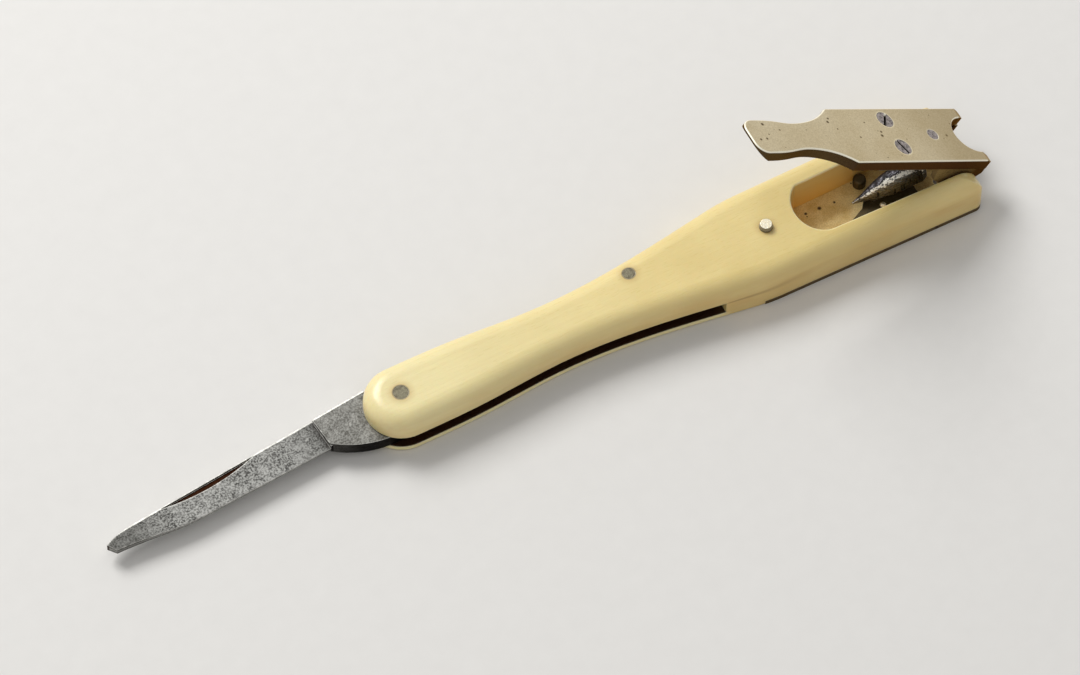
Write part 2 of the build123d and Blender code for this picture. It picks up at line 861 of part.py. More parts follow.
# Cutter: a steel block under the lever, with a nib-shaped channel that clears the former
channel_tip = hinge_x - former_tip_x + cutter_lead
channel_places = [channel_tip - (channel_tip - cutter_start) * share for share in (0.25, 0.5, 0.75, 1)]
channel_half = [former_half_at(channel_tip - place) + cutter_clearance for place in channel_places]
with BuildPart() as cutter_block:
    with BuildSketch(lever_plane.offset(lever_rise - cutter_flange)):
        with Locations((cutter_start + cutter_length / 2, 0)):
            Rectangle(cutter_length, 2 * cutter_flange_half_width)
    extrude(amount=cutter_flange)
    with BuildSketch(lever_plane.offset(lever_rise - cutter_depth)):
        with Locations((cutter_start + cutter_length / 2, 0)):
            Rectangle(cutter_length, 2 * cutter_half_width)
    extrude(amount=cutter_depth - cutter_flange)
    with BuildSketch(lever_plane.offset(lever_rise - cutter_depth)):
        with BuildLine():
            edge_curve = Spline((channel_tip, 0), *zip(channel_places, channel_half))
            mirror(edge_curve, about=Plane.XZ)
            Polyline(
                edge_curve @ 1,
                (0, channel_half[-1]),
                (0, -channel_half[-1]),
                (cutter_start, -channel_half[-1]),
            )
        make_face()
    extrude(amount=cutter_depth, mode=Mode.SUBTRACT)
    with BuildSketch(lever_plane.offset(lever_rise - cutter_flange)):
        with Locations(*cutter_screw_places):
            Circle(cutter_screw_radius)
    extrude(amount=cutter_flange, mode=Mode.SUBTRACT)
finish(cutter_block.part, "cutter_block")

# Slitter: a thin blade along the channel's middle, on a foot that the rivet holds
with BuildPart() as slitter:
    with BuildSketch(lever_plane.offset(lever_rise - slitter_foot)):
        with Locations((slitter_forward, 0)):
            Rectangle(slitter_foot_length, 2 * slitter_foot_half_width)
            Circle(slitter_rivet_radius, mode=Mode.SUBTRACT)
    extrude(amount=slitter_foot)
    fin_start = slitter_forward + slitter_foot_length / 2
    with BuildSketch(lever_plane.offset(lever_rise - slitter_fin_depth)):
        with Locations((fin_start + slitter_fin_length / 2 - slitter_foot_half_width / 2, 0)):
            Rectangle(slitter_fin_length - slitter_foot_half_width, slitter_fin_thickness)
    extrude(amount=slitter_fin_depth)
finish(slitter.part, "slitter")

# Slitter rivet: flush with the lever's face
with BuildPart() as slitter_rivet:
    with BuildSketch(lever_plane.offset(lever_rise - slitter_foot)):
        with Locations((slitter_forward, 0)):
            Circle(slitter_rivet_radius)
    extrude(amount=lever_thickness + slitter_foot)
finish(slitter_rivet.part, "slitter_rivet")
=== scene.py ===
import math

import bpy
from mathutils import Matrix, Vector


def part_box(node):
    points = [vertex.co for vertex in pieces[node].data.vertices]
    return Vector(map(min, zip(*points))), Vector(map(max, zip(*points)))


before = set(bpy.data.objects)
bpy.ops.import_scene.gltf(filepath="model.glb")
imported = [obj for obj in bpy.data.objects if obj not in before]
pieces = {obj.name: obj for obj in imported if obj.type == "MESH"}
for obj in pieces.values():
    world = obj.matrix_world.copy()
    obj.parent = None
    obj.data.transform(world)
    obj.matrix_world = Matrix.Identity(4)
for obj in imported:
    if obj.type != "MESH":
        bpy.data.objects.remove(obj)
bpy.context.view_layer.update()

# Handle: one piece of elephant ivory, filed to a waist and a swell, sawn open for the knife and
# cut through for the well. Polished and yellowed, with grain along it and dirt round the pins. Its
# flanks carry a tan stain that also paints in warm reflected light, and the near flank is painted
# shade as well. The slot holds dirt and painted shade, the well's walls a stain and painted warm
# shade, and the well's rim and rounded edges a painted highlight.
MM = 0.001


def add(tree, kind, wires=None, **settings):
    """One shader node. Settings are its properties, wires its inputs, each a value or a socket."""
    node = tree.nodes.new("ShaderNode" + kind)
    for name, value in settings.items():
        setattr(node, name, value)
    for name, value in (wires or {}).items():
        if isinstance(value, bpy.types.NodeSocket):
            tree.links.new(value, node.inputs[name])
        else:
            node.inputs[name].default_value = value
    return node


def sums(tree, operation, first, second=0.0):
    """A value worked out from one or two others."""
    return add(tree, "Math", {0: first, 1: second}, operation=operation).outputs[0]


def between(tree, value, low, high, start=0.0, end=1.0):
    """Goes evenly from start to end while the value goes from low to high, and holds beyond."""
    wires = {"Value": value, "From Min": low, "From Max": high, "To Min": start, "To Max": end}
    return add(tree, "MapRange", wires).outputs["Result"]


def only_where(tree, *masks):
    """The masks multiplied: full only where each of them is."""
    total = masks[0]
    for mask in masks[1:]:
        total = sums(tree, "MULTIPLY", total, mask)
    return total


def apart(tree, vector):
    """A vector's three numbers."""
    return add(tree, "SeparateXYZ", {0: vector}).outputs


def stretched(tree, place, sizes):
    """Places divided by a size along each axis, so that a pattern is drawn out along it."""
    shares = tuple(1 / size for size in sizes)
    return add(tree, "VectorMath", {0: place, 1: shares}, operation="MULTIPLY").outputs[0]


def stain(tree, under, over, mask, mode="MIX"):
    """The colour over laid on the colour under where the mask says."""
    wires = {0: mask, 6: under, 7: over}
    return add(tree, "Mix", wires, data_type="RGBA", blend_type=mode).outputs[2]


def tint(red, green, blue):
    """A colour as a paint chart gives it, 0 to 255, in the shader's own scale."""
    chart = (red / 255, green / 255, blue / 255)
    return (*(c / 12.92 if c <= 0.04045 else ((c + 0.055) / 1.055) ** 2.4 for c in chart), 1.0)


def effect(name, vectors, numbers, results):
    """An empty shader node group with named inputs and outputs, and its two ends."""
    tree = bpy.data.node_groups.new(name, "ShaderNodeTree")
    for label in vectors:
        tree.interface.new_socket(name=label, in_out="INPUT", socket_type="NodeSocketVector")
    for label in numbers:
        tree.interface.new_socket(name=label, in_out="INPUT", socket_type="NodeSocketFloat")
    for label, kind in results.items():
        tree.interface.new_socket(name=label, in_out="OUTPUT", socket_type="NodeSocket" + kind)
    return tree, tree.nodes.new("NodeGroupInput").outputs, tree.nodes.new("NodeGroupOutput").inputs


def laid(tree, group, wires, result="Mask"):
    """One result of a group that is placed in a material with its own values."""
    return add(tree, "Group", wires, node_tree=group).outputs[result]


# Cloudy patches from 0 to 1, of a size in millimetres. A small spread gives hard borders.
clouds, given, result = effect("clouds", ["Place"], ["Size", "Spread"], {"Mask": "Float"})
wires = {"Vector": given["Place"], "Scale": sums(clouds, "DIVIDE", 1.0, given["Size"]), "Detail": 4.0}
noise = add(clouds, "TexNoise", wires).outputs["Fac"]
low_end = sums(clouds, "SUBTRACT", 0.5, given["Spread"])
high_end = sums(clouds, "ADD", 0.5, given["Spread"])
clouds.links.new(between(clouds, noise, low_end, high_end), result["Mask"])

# Dirt in hollows and corners, and the shade that falls there painted in as well, out to a reach in
# millimetres. Start is how open a place may be.
hollow_dirt_and_shade, given, result = effect("hollow_dirt_and_shade", [], ["Reach", "Start"], {"Mask": "Float"})
reach = sums(hollow_dirt_and_shade, "MULTIPLY", given["Reach"], MM)
open_share = add(hollow_dirt_and_shade, "AmbientOcclusion", {"Distance": reach}, samples=12, only_local=True)
buried = between(hollow_dirt_and_shade, open_share.outputs["AO"], given["Start"], 0.05)
hollow_dirt_and_shade.links.new(buried, result["Mask"])

# Corners rounded in the shading alone, and a mask that is full on them.
soft_edges, given, result = effect(
    "soft_edges", [], ["Radius"], {"Normal": "Vector", "Mask": "Float"}
)
rounded = add(
    soft_edges, "Bevel", {"Radius": sums(soft_edges, "MULTIPLY", given["Radius"], MM)}, samples=6
).outputs["Normal"]
true_face = add(soft_edges, "NewGeometry").outputs["Normal"]
match = add(soft_edges, "VectorMath", {0: rounded, 1: true_face}, operation="DOT_PRODUCT")
soft_edges.links.new(rounded, result["Normal"])
soft_edges.links.new(between(soft_edges, match.outputs["Value"], 0.985, 0.8), result["Mask"])

# A dark ring just outside a pin that stands upright in the piece, and the stain beyond it.
pin_dirt, given, result = effect(
    "pin_dirt", ["Place"], ["Pin X", "Pin Y", "Pin Radius", "Halo Width"],
    {"Ring": "Float", "Halo": "Float"},
)
flat_place = add(
    pin_dirt, "VectorMath", {0: given["Place"], 1: (1, 1, 0)}, operation="MULTIPLY"
).outputs[0]
pin_middle = add(pin_dirt, "CombineXYZ", {0: given["Pin X"], 1: given["Pin Y"]}).outputs[0]
from_middle = add(
    pin_dirt, "VectorMath", {0: flat_place, 1: pin_middle}, operation="DISTANCE"
).outputs["Value"]
past_pin = sums(pin_dirt, "SUBTRACT", from_middle, given["Pin Radius"])
pin_dirt.links.new(between(pin_dirt, past_pin, 0.2, 0.06), result["Ring"])
halo = between(pin_dirt, past_pin, given["Halo Width"], 0.05)
pin_dirt.links.new(sums(pin_dirt, "POWER", halo, 1.6), result["Halo"])


finishes = {}


def finish_called(name):
    """A new material: its tree, its shader, the places on the piece in millimetres, and which
    way its faces look."""
    material = bpy.data.materials.new(name)
    finishes[name] = material
    material.use_nodes = True
    tree = material.node_tree
    own = add(tree, "TexCoord").outputs
    here = add(tree, "VectorMath", {0: own["Object"], "Scale": 1 / MM}, operation="SCALE").outputs[0]
    return tree, tree.nodes["Principled BSDF"], here, own["Normal"]


def dented(tree, height, depth, normal=None):
    """The surface's normal with a height laid on it, so many millimetres deep."""
    wires = {"Height": height, "Distance": depth * MM, "Strength": 1.0}
    if normal is not None:
        wires["Normal"] = normal
    return add(tree, "Bump", wires).outputs["Normal"]


def polish(tree, shader, colour, roughness, normal, metal=0.0):
    """Feeds a material's shader."""
    for name, value in {
        "Base Color": colour, "Roughness": roughness, "Normal": normal, "Metallic": metal
    }.items():
        if isinstance(value, bpy.types.NodeSocket):
            tree.links.new(value, shader.inputs[name])
        else:
            shader.inputs[name].default_value = value


def dress(name, *nodes):
    """Gives CAD pieces a finish."""
    for node in nodes:
        pieces[node].data.materials.clear()
        pieces[node].data.materials.append(finishes[name])


def middle(node):
    """Where a piece's middle is, in millimetres."""
    low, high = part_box(node)
    return (low + high) / 2 / MM


handle_low, handle_high = (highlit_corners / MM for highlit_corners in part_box("handle"))
handle_pins = {"blade_pin": 1.1, "spring_pin": 0.9, "rest_stud": 0.85}
slot_low, slot_high = (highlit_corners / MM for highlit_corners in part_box("back_spring"))
slot_end = handle_low.x + 54.0
well_start = handle_high.x - 27.0
well_half_width = 5.2
well_rim = handle_high.z
crease_start_height = 3.35
crease_end_height = 3.9

tree, shader, here, facing = finish_called("old_ivory")
along, across, up = apart(tree, here)
_, looks_across, looks_up = apart(tree, facing)
wide_clouds = laid(tree, clouds, {"Place": here, "Size": 11.0, "Spread": 0.22})
colour = stain(tree, tint(234, 214, 148), tint(220, 198, 130), wide_clouds)
towards_knife = between(tree, along, slot_end - 8, handle_low.x + 8)
colour = stain(tree, colour, tint(238, 228, 176), sums(tree, "MULTIPLY", towards_knife, 0.7))
grain = laid(tree, clouds, {"Place": stretched(tree, here, (24, 1, 1)), "Size": 0.5, "Spread": 0.16})
colour = stain(tree, colour, tint(206, 178, 108), sums(tree, "MULTIPLY", grain, 0.14))
# Flanks: a tan stain that also paints in warm reflected light; the near flank darker still, tan and
# painted shade.
flank_tan_and_warm_light = between(tree, looks_up, 0.93, 0.1)
near_flank_tan_and_shade = only_where(tree, flank_tan_and_warm_light, between(tree, looks_across, 0.1, -0.6))
colour = stain(tree, colour, tint(222, 188, 116), sums(tree, "MULTIPLY", flank_tan_and_warm_light, 0.22))
tan_clouds = laid(tree, clouds, {"Place": stretched(tree, here, (3, 1, 1)), "Size": 3.5, "Spread": 0.2})
near_tan_and_shade = only_where(tree, near_flank_tan_and_shade, between(tree, tan_clouds, 0, 1, 0.04, 0.36))
colour = stain(tree, colour, tint(196, 140, 62), near_tan_and_shade)
crease_height = between(tree, along, slot_end, slot_end + 18, crease_start_height, crease_end_height)
from_crease = sums(tree, "ABSOLUTE", sums(tree, "SUBTRACT", up, crease_height))
crease_width = between(tree, along, slot_end - 1, slot_end + 14, 0.08, 1.1)
crease_depth = only_where(
    tree,
    between(tree, sums(tree, "DIVIDE", from_crease, crease_width), 1.0, 0.15),
    between(tree, along, slot_end - 0.3, slot_end + 0.4),
    between(tree, along, slot_end + 15, slot_end + 1, 0.0, 0.6),
    between(tree, across, 0.0, -1.0),
)
colour = stain(tree, colour, tint(140, 92, 34), crease_depth)
for pin, radius in handle_pins.items():
    place = middle(pin)
    wires = {"Place": here, "Pin X": place.x, "Pin Y": place.y, "Pin Radius": radius, "Halo Width": 1.3}
    marks = add(tree, "Group", wires, node_tree=pin_dirt).outputs
    colour = stain(tree, colour, tint(196, 160, 96), sums(tree, "MULTIPLY", marks["Halo"], 0.6))
    colour = stain(tree, colour, tint(84, 58, 26), sums(tree, "MULTIPLY", marks["Ring"], 0.85))
# The well's walls: an orange stain that also paints their warm shade, deepest down at the floor.
well_wall_stain_and_shade = only_where(
    tree,
    between(tree, sums(tree, "ABSOLUTE", across), well_half_width + 0.25, well_half_width),
    between(tree, along, well_start, well_start + 0.1),
    between(tree, looks_up, 0.8, 0.3),
    between(tree, up, well_rim - 0.8, 1.0, 0.05, 0.85),
)
colour = stain(tree, colour, tint(240, 190, 98), well_wall_stain_and_shade)
# Painted highlight along the rounded rim of the well.
rim_highlight = only_where(
    tree,
    between(tree, sums(tree, "ABSOLUTE", across), well_half_width + 0.8, well_half_width + 0.6),
    between(tree, along, well_start - 0.7, well_start - 0.6),
    between(tree, up, well_rim - 0.45, well_rim - 0.25),
    between(tree, looks_up, 0.98, 0.9),
)
# Inside the slot: near black, dirt and painted shade.
slot_dirt_and_shade = only_where(
    tree,
    between(tree, sums(tree, "ABSOLUTE", looks_up), 0.6, 0.9),
    between(tree, up, slot_low.z - 0.06, slot_low.z - 0.03),
    between(tree, up, slot_high.z + 0.06, slot_high.z + 0.03),
)
low_strip = only_where(
    tree,
    between(tree, up, slot_low.z + 0.02, slot_low.z - 0.1),
    between(tree, along, slot_end + 1, slot_end - 1),
    between(tree, looks_up, -0.5, -0.1),
)
# Dirt and painted shade in the hollows.
dirt_and_shade = laid(tree, hollow_dirt_and_shade, {"Reach": 1.2, "Start": 0.5})
colour = stain(tree, colour, tint(70, 38, 12), sums(tree, "MULTIPLY", dirt_and_shade, 0.9))
colour = stain(tree, colour, tint(238, 226, 172), sums(tree, "MULTIPLY", low_strip, 0.9))
colour = stain(tree, colour, tint(46, 24, 8), slot_dirt_and_shade)
scratches = laid(tree, clouds, {"Place": stretched(tree, here, (9, 1, 1)), "Size": 0.16, "Spread": 0.12})
dull = sums(tree, "ADD", scratches, sums(tree, "MULTIPLY", flank_tan_and_warm_light, 0.6))
height = sums(tree, "ADD", sums(tree, "MULTIPLY", grain, 0.6), sums(tree, "MULTIPLY", scratches, 0.25))
rounded_edges = add(tree, "Group", {"Radius": 0.25}, node_tree=soft_edges).outputs
# Painted highlight on rounded edges that look sideways or up, and on the well's rim.
edge_highlight = sums(tree, "MAXIMUM", rim_highlight, only_where(tree, rounded_edges["Mask"], between(tree, looks_up, -0.1, 0.2)))
colour = stain(tree, colour, tint(252, 244, 204), sums(tree, "MULTIPLY", edge_highlight, 0.6))
gloss = between(tree, dull, 0.0, 1.6, 0.27, 0.46)
polish(tree, shader, colour, gloss, dented(tree, height, 0.006, rounded_edges["Normal"]))
shader.inputs["Subsurface Weight"].default_value = 0.22
shader.inputs["Subsurface Radius"].default_value = (1.0, 0.6, 0.25)
shader.inputs["Subsurface Scale"].default_value = 1.2 * MM
shader.inputs["Coat Weight"].default_value = 0.25
shader.inputs["Coat Roughness"].default_value = 0.3
dress("old_ivory", "handle")

# Blade pin and spring pin: lengths of steel wire, driven through the ivory and filed flush with it
# on both sides. The filed ends have dulled to a blotched grey.
tree, shader, here, _ = finish_called("filed_pin_steel")
blotches = laid(tree, clouds, {"Place": here, "Size": 0.5, "Spread": 0.2})
specks = laid(tree, clouds, {"Place": here, "Size": 0.14, "Spread": 0.12})
colour = stain(tree, tint(124, 119, 97), tint(70, 62, 44), blotches)
colour = stain(tree, colour, tint(168, 163, 140), sums(tree, "MULTIPLY", specks, 0.3))
rounded_edges = add(tree, "Group", {"Radius": 0.12}, node_tree=soft_edges).outputs
colour = stain(tree, colour, tint(62, 46, 26), sums(tree, "MULTIPLY", rounded_edges["Mask"], 0.8))
height = sums(tree, "ADD", sums(tree, "MULTIPLY", blotches, 0.5), specks)
roughness = between(tree, blotches, 0, 1, 0.4, 0.56)
polish(tree, shader, colour, roughness, dented(tree, height, 0.02, rounded_edges["Normal"]), 0.6)
dress("filed_pin_steel", "blade_pin", "spring_pin")

# Knife: a forged steel penknife blade with a thick tang, turning on the blade pin. It has lost its
# polish to a mottled grey patina and is bright only along its whetted edge. Its back and the edges
# of its top carry a painted highlight, and painted shade darkens its root, its tip, the tang's near
# side and the blade beside the tang's step. The place of a stamp on the tang is left bare, worn
# like the rest.
blade_turn = math.radians(6.1)
blade_pivot = middle("blade_pin")
blade_pivot.z = middle("knife_blade").z
tang_length = 11.7
blade_reach = 46.2
blade_back = -5.1
half_thickness_at_back = 0.75
nick_start = 20.0
nick_low_side = -3.95
half_thickness_below_nick = 0.665


def seen_from(tree, place, origin, turn):
    """Places counted from an origin, along axes that are turned with a piece."""
    wires = {"Vector": place, "Location": origin, "Rotation": turn}
    return add(tree, "Mapping", wires, vector_type="TEXTURE").outputs[0]


tree, shader, here, facing = finish_called("patina_steel")
blade_place = seen_from(tree, here, blade_pivot, (0, 0, math.pi + blade_turn))
blade_facing = seen_from(tree, facing, (0, 0, 0), (0, 0, math.pi + blade_turn))
forward, edgewards, up = apart(tree, blade_place)
_, looks_edgewards, looks_up = apart(tree, blade_facing)
patches = laid(tree, clouds, {"Place": here, "Size": 3.0, "Spread": 0.12})
blotches = laid(tree, clouds, {"Place": here, "Size": 0.95, "Spread": 0.1})
specks = laid(tree, clouds, {"Place": here, "Size": 0.26, "Spread": 0.09})
on_tang = between(tree, forward, tang_length + 0.05, tang_length - 0.05)
on_top = between(tree, looks_up, 0.5, 0.8)
colour = stain(tree, tint(140, 139, 135), tint(84, 83, 79), patches)
colour = stain(tree, colour, tint(38, 36, 33), sums(tree, "MULTIPLY", blotches, 0.76))
colour = stain(tree, colour, tint(214, 214, 208), sums(tree, "MULTIPLY", specks, 0.45))
colour = stain(tree, colour, tint(90, 88, 81), sums(tree, "MULTIPLY", on_tang, 0.6))
# Painted shade: the blade darker towards its root and its tip.
near_root = between(tree, forward, tang_length + 7, tang_length + 0.5, 0.0, 0.4)
near_tip = between(tree, forward, blade_reach - 10, blade_reach - 4, 0.0, 0.6)
root_and_tip_shade = sums(tree, "MAXIMUM", sums(tree, "SUBTRACT", near_root, on_tang), near_tip)
colour = stain(tree, colour, tint(62, 61, 56), root_and_tip_shade)
# Painted shade on the blade beside the tang's step.
step_shade = only_where(
    tree, between(tree, forward, tang_length + 0.9, tang_length), sums(tree, "SUBTRACT", 1.0, on_tang)
)
colour = stain(tree, colour, tint(34, 29, 24), sums(tree, "MULTIPLY", step_shade, 0.8))
whetted = only_where(
    tree,
    between(tree, sums(tree, "ABSOLUTE", up), 0.19, 0.15),
    between(tree, forward, tang_length, tang_length + 1.5),
)
colour = stain(tree, colour, tint(176, 175, 170), sums(tree, "MULTIPLY", whetted, 0.4))
face_height = between(
    tree, edgewards, blade_back, nick_low_side, half_thickness_at_back, half_thickness_below_nick
)
in_nick = only_where(
    tree,
    between(tree, forward, nick_start, nick_start + 1),
    between(tree, edgewards, nick_low_side, nick_low_side - 0.11),
    between(tree, edgewards, blade_back + 0.09, blade_back + 0.115),
    between(tree, sums(tree, "SUBTRACT", face_height, up), 0.05, 0.09),
    between(tree, looks_up, -0.3, 0.0),
)
# Dirt and painted shade in the hollows and the nail nick.
dirt_and_shade = laid(tree, hollow_dirt_and_shade, {"Reach": 0.7, "Start": 0.7})
dirt_and_shade = sums(tree, "MAXIMUM", dirt_and_shade, in_nick)
colour = stain(tree, colour, tint(40, 21, 10), dirt_and_shade)
# Painted shade: the tang's near side near black.
near_side_shade = only_where(tree, between(tree, looks_edgewards, 0.5, 0.9), on_tang)
colour = stain(tree, colour, tint(14, 9, 6), near_side_shade)
rounded_edges = add(tree, "Group", {"Radius": 0.25}, node_tree=soft_edges).outputs
# Painted highlights along the back, the spine's line and the top edges, broken by the blotches.
back_highlight = only_where(tree, between(tree, looks_edgewards, -0.5, -0.9), between(tree, forward, 3, 5))
spine_highlight_line = only_where(
    tree, between(tree, edgewards, blade_back + 0.26, blade_back + 0.16), between(tree, up, 0.52, 0.6),
    sums(tree, "SUBTRACT", 1.0, in_nick),
)
edge_highlight = only_where(tree, rounded_edges["Mask"], on_top, between(tree, whetted, 1, 0, 0.3, 0.9))
painted_highlights = sums(tree, "MAXIMUM", sums(tree, "MAXIMUM", back_highlight, spine_highlight_line), edge_highlight)
painted_highlights = sums(tree, "MULTIPLY", painted_highlights, between(tree, blotches, 0, 1, 0.95, 0.6))
colour = stain(tree, colour, tint(244, 242, 234), painted_highlights)
roughness = between(tree, sums(tree, "ADD", blotches, patches), 0, 2, 0.38, 0.56)
height = sums(tree, "ADD", sums(tree, "MULTIPLY", specks, 0.5), blotches)
metal = between(tree, sums(tree, "MAXIMUM", near_side_shade, dirt_and_shade), 0, 1, 0.62, 1.0)
polish(tree, shader, colour, roughness, dented(tree, height, 0.014, rounded_edges["Normal"]), metal)
dress("patina_steel", "knife_blade")

# Back spring: a flat steel spring in the slot's far side, held by the spring pin and the ivory's
# solid end. Its back is filed flush with the handle, and it is browned by handling.
tree, shader, here, _ = finish_called("browned_spring_steel")
blotches = laid(tree, clouds, {"Place": here, "Size": 1.2, "Spread": 0.2})
lines = laid(tree, clouds, {"Place": stretched(tree, here, (12, 1, 1)), "Size": 0.12, "Spread": 0.14})
colour = stain(tree, tint(120, 112, 98), tint(84, 70, 52), blotches)
colour = stain(tree, colour, tint(160, 152, 136), sums(tree, "MULTIPLY", lines, 0.3))
# Dirt and painted shade in the hollows.
dirt_and_shade = laid(tree, hollow_dirt_and_shade, {"Reach": 1.2, "Start": 0.5})
colour = stain(tree, colour, tint(40, 26, 14), dirt_and_shade)
rounded_edges = add(tree, "Group", {"Radius": 0.1}, node_tree=soft_edges).outputs
colour = stain(tree, colour, tint(190, 184, 168), sums(tree, "MULTIPLY", rounded_edges["Mask"], 0.5))
roughness = between(tree, lines, 0, 1, 0.34, 0.5)
polish(tree, shader, colour, roughness, dented(tree, lines, 0.006, rounded_edges["Normal"]), 0.85)
dress("browned_spring_steel", "back_spring")

# Base plate: thin sheet brass under the hinge end, filed flush with the ivory. Its face is the
# well's floor, dull and speckled, with dark pits, and its cut edge has gone dark brown.
# Scattered round pits, a share of all the cells, each of its own size.
pits, given, result = effect("pits", ["Place"], ["Spacing", "Share", "Radius"], {"Mask": "Float"})
wires = {"Vector": given["Place"], "Scale": sums(pits, "DIVIDE", 1.0, given["Spacing"])}
cells = add(pits, "TexVoronoi", wires, voronoi_dimensions="2D").outputs
from_cell = sums(pits, "MULTIPLY", cells["Distance"], given["Spacing"])
chance = apart(pits, cells["Color"])
pit_size = sums(pits, "MULTIPLY", given["Radius"], between(pits, chance[1], 0, 1, 0.5, 1.3))
hole = between(pits, sums(pits, "DIVIDE", from_cell, pit_size), 1.0, 0.55)
chosen = sums(pits, "LESS_THAN", chance[0], given["Share"])
pits.links.new(sums(pits, "MULTIPLY", hole, chosen), result["Mask"])

# One round spot at a given place on a face.
spot, given, result = effect("spot", ["Place"], ["Spot X", "Spot Y", "Radius"], {"Mask": "Float"})
spot_middle = add(spot, "CombineXYZ", {0: given["Spot X"], 1: given["Spot Y"]}).outputs[0]
from_spot = add(spot, "VectorMath", {0: given["Place"], 1: spot_middle}, operation="DISTANCE")
share_out = sums(spot, "DIVIDE", from_spot.outputs["Value"], given["Radius"])
spot.links.new(between(spot, share_out, 1.1, 0.5), result["Mask"])

brass_pits = ((24.9, -1.4, 0.3), (26.6, 2.5, 0.34), (24.4, 2.6, 0.26), (29.0, 2.4, 0.22))

tree, shader, here, facing = finish_called("dull_brass")
looks_up = apart(tree, facing)[2]
floor_place = add(tree, "VectorMath", {0: here, 1: (1, 1, 0)}, operation="MULTIPLY").outputs[0]
blotches = laid(tree, clouds, {"Place": here, "Size": 1.6, "Spread": 0.2})
specks = laid(tree, clouds, {"Place": here, "Size": 0.2, "Spread": 0.08})
colour = stain(tree, tint(255, 234, 172), tint(228, 198, 128), blotches)
colour = stain(tree, colour, tint(150, 118, 60), sums(tree, "MULTIPLY", specks, 0.22))
floor_pits = laid(tree, pits, {"Place": floor_place, "Spacing": 2.0, "Share": 0.4, "Radius": 0.24})
for pit_along, pit_across, radius in brass_pits:
    wires = {"Place": floor_place, "Spot X": pit_along, "Spot Y": pit_across, "Radius": radius}
    floor_pits = sums(tree, "MAXIMUM", floor_pits, laid(tree, spot, wires))
colour = stain(tree, colour, tint(44, 28, 10), sums(tree, "MULTIPLY", floor_pits, 0.95))
cut_edge = between(tree, sums(tree, "ABSOLUTE", looks_up), 0.6, 0.3)
colour = stain(tree, colour, tint(66, 47, 24), sums(tree, "MULTIPLY", cut_edge, 0.92))
rounded_edges = add(tree, "Group", {"Radius": 0.12}, node_tree=soft_edges).outputs
colour = stain(tree, colour, tint(196, 164, 104), sums(tree, "MULTIPLY", rounded_edges["Mask"], 0.3))
height = sums(tree, "SUBTRACT", sums(tree, "MULTIPLY", specks, 0.6), floor_pits)
roughness = between(tree, blotches, 0, 1, 0.46, 0.62)
metal = between(tree, cut_edge, 0, 1, 0.12, 0.9)
polish(tree, shader, colour, roughness, dented(tree, height, 0.02, rounded_edges["Normal"]), metal)
dress("dull_brass", "base_plate")

# Screws from below: slotted steel wood screws hold the plate to the ivory, and two machine screws
# clamp the former and the bed to the plate. Their heads are filed flush, with dirt and painted shade
# in the slots.
tree, shader, here, _ = finish_called("flush_screw_steel")
blotches = laid(tree, clouds, {"Place": here, "Size": 0.6, "Spread": 0.2})
specks = laid(tree, clouds, {"Place": here, "Size": 0.13, "Spread": 0.1})
colour = stain(tree, tint(146, 140, 128), tint(104, 98, 88), blotches)
colour = stain(tree, colour, tint(184, 180, 170), sums(tree, "MULTIPLY", specks, 0.4))
# Dirt and painted shade in the slots.
dirt_and_shade = laid(tree, hollow_dirt_and_shade, {"Reach": 0.45, "Start": 0.75})
colour = stain(tree, colour, tint(28, 20, 12), dirt_and_shade)
rounded_edges = add(tree, "Group", {"Radius": 0.08}, node_tree=soft_edges).outputs
colour = stain(tree, colour, tint(206, 200, 186), sums(tree, "MULTIPLY", rounded_edges["Mask"], 0.45))
roughness = between(tree, blotches, 0, 1, 0.34, 0.5)
polish(tree, shader, colour, roughness, dented(tree, specks, 0.006, rounded_edges["Normal"]), 0.85)
dress("flush_screw_steel", "plate_screws", "former_screws", "frame_rivets", "hinge_pins")

# Bed and well stud: a steel plate on the well's floor with a forked end, and a stud riveted
# through the plate beside it. Both are black with old oxide and oil, with a painted highlight on
# their edges.
tree, shader, here, _ = finish_called("black_steel")
blotches = laid(tree, clouds, {"Place": here, "Size": 1.1, "Spread": 0.2})
specks = laid(tree, clouds, {"Place": here, "Size": 0.2, "Spread": 0.1})
colour = stain(tree, tint(88, 74, 46), tint(58, 47, 28), blotches)
colour = stain(tree, colour, tint(86, 84, 58), sums(tree, "MULTIPLY", specks, 0.3))
rounded_edges = add(tree, "Group", {"Radius": 0.1}, node_tree=soft_edges).outputs
# Painted highlight along the edges.
colour = stain(tree, colour, tint(168, 150, 104), sums(tree, "MULTIPLY", rounded_edges["Mask"], 0.4))
roughness = between(tree, blotches, 0, 1, 0.4, 0.6)
polish(tree, shader, colour, roughness, dented(tree, specks, 0.012, rounded_edges["Normal"]), 0.6)
dress("black_steel", "bed", "well_stud")

# Rest stud and bed pins: nickel wire, riveted over. The closed lever lies on the stud, which keeps
# its cream-white flat top bright. The sides are darkened as painted shade.
tree, shader, here, facing = finish_called("riveted_nickel")
looks_up = apart(tree, facing)[2]
specks = laid(tree, clouds, {"Place": here, "Size": 0.24, "Spread": 0.16})
colour = stain(tree, tint(247, 242, 222), tint(228, 216, 184), specks)
# Painted shade: the sides darker than the top.
side_shade = between(tree, looks_up, 0.6, 0.2)
colour = stain(tree, colour, tint(58, 44, 24), sums(tree, "MULTIPLY", side_shade, 0.9))
rounded = laid(tree, soft_edges, {"Radius": 0.12}, "Normal")
roughness = between(tree, specks, 0, 1, 0.22, 0.36)
metal = between(tree, side_shade, 0, 1, 0.55, 0.2)
polish(tree, shader, colour, roughness, dented(tree, specks, 0.012, rounded), metal)
dress("riveted_nickel", "rest_stud", "bed_pins")

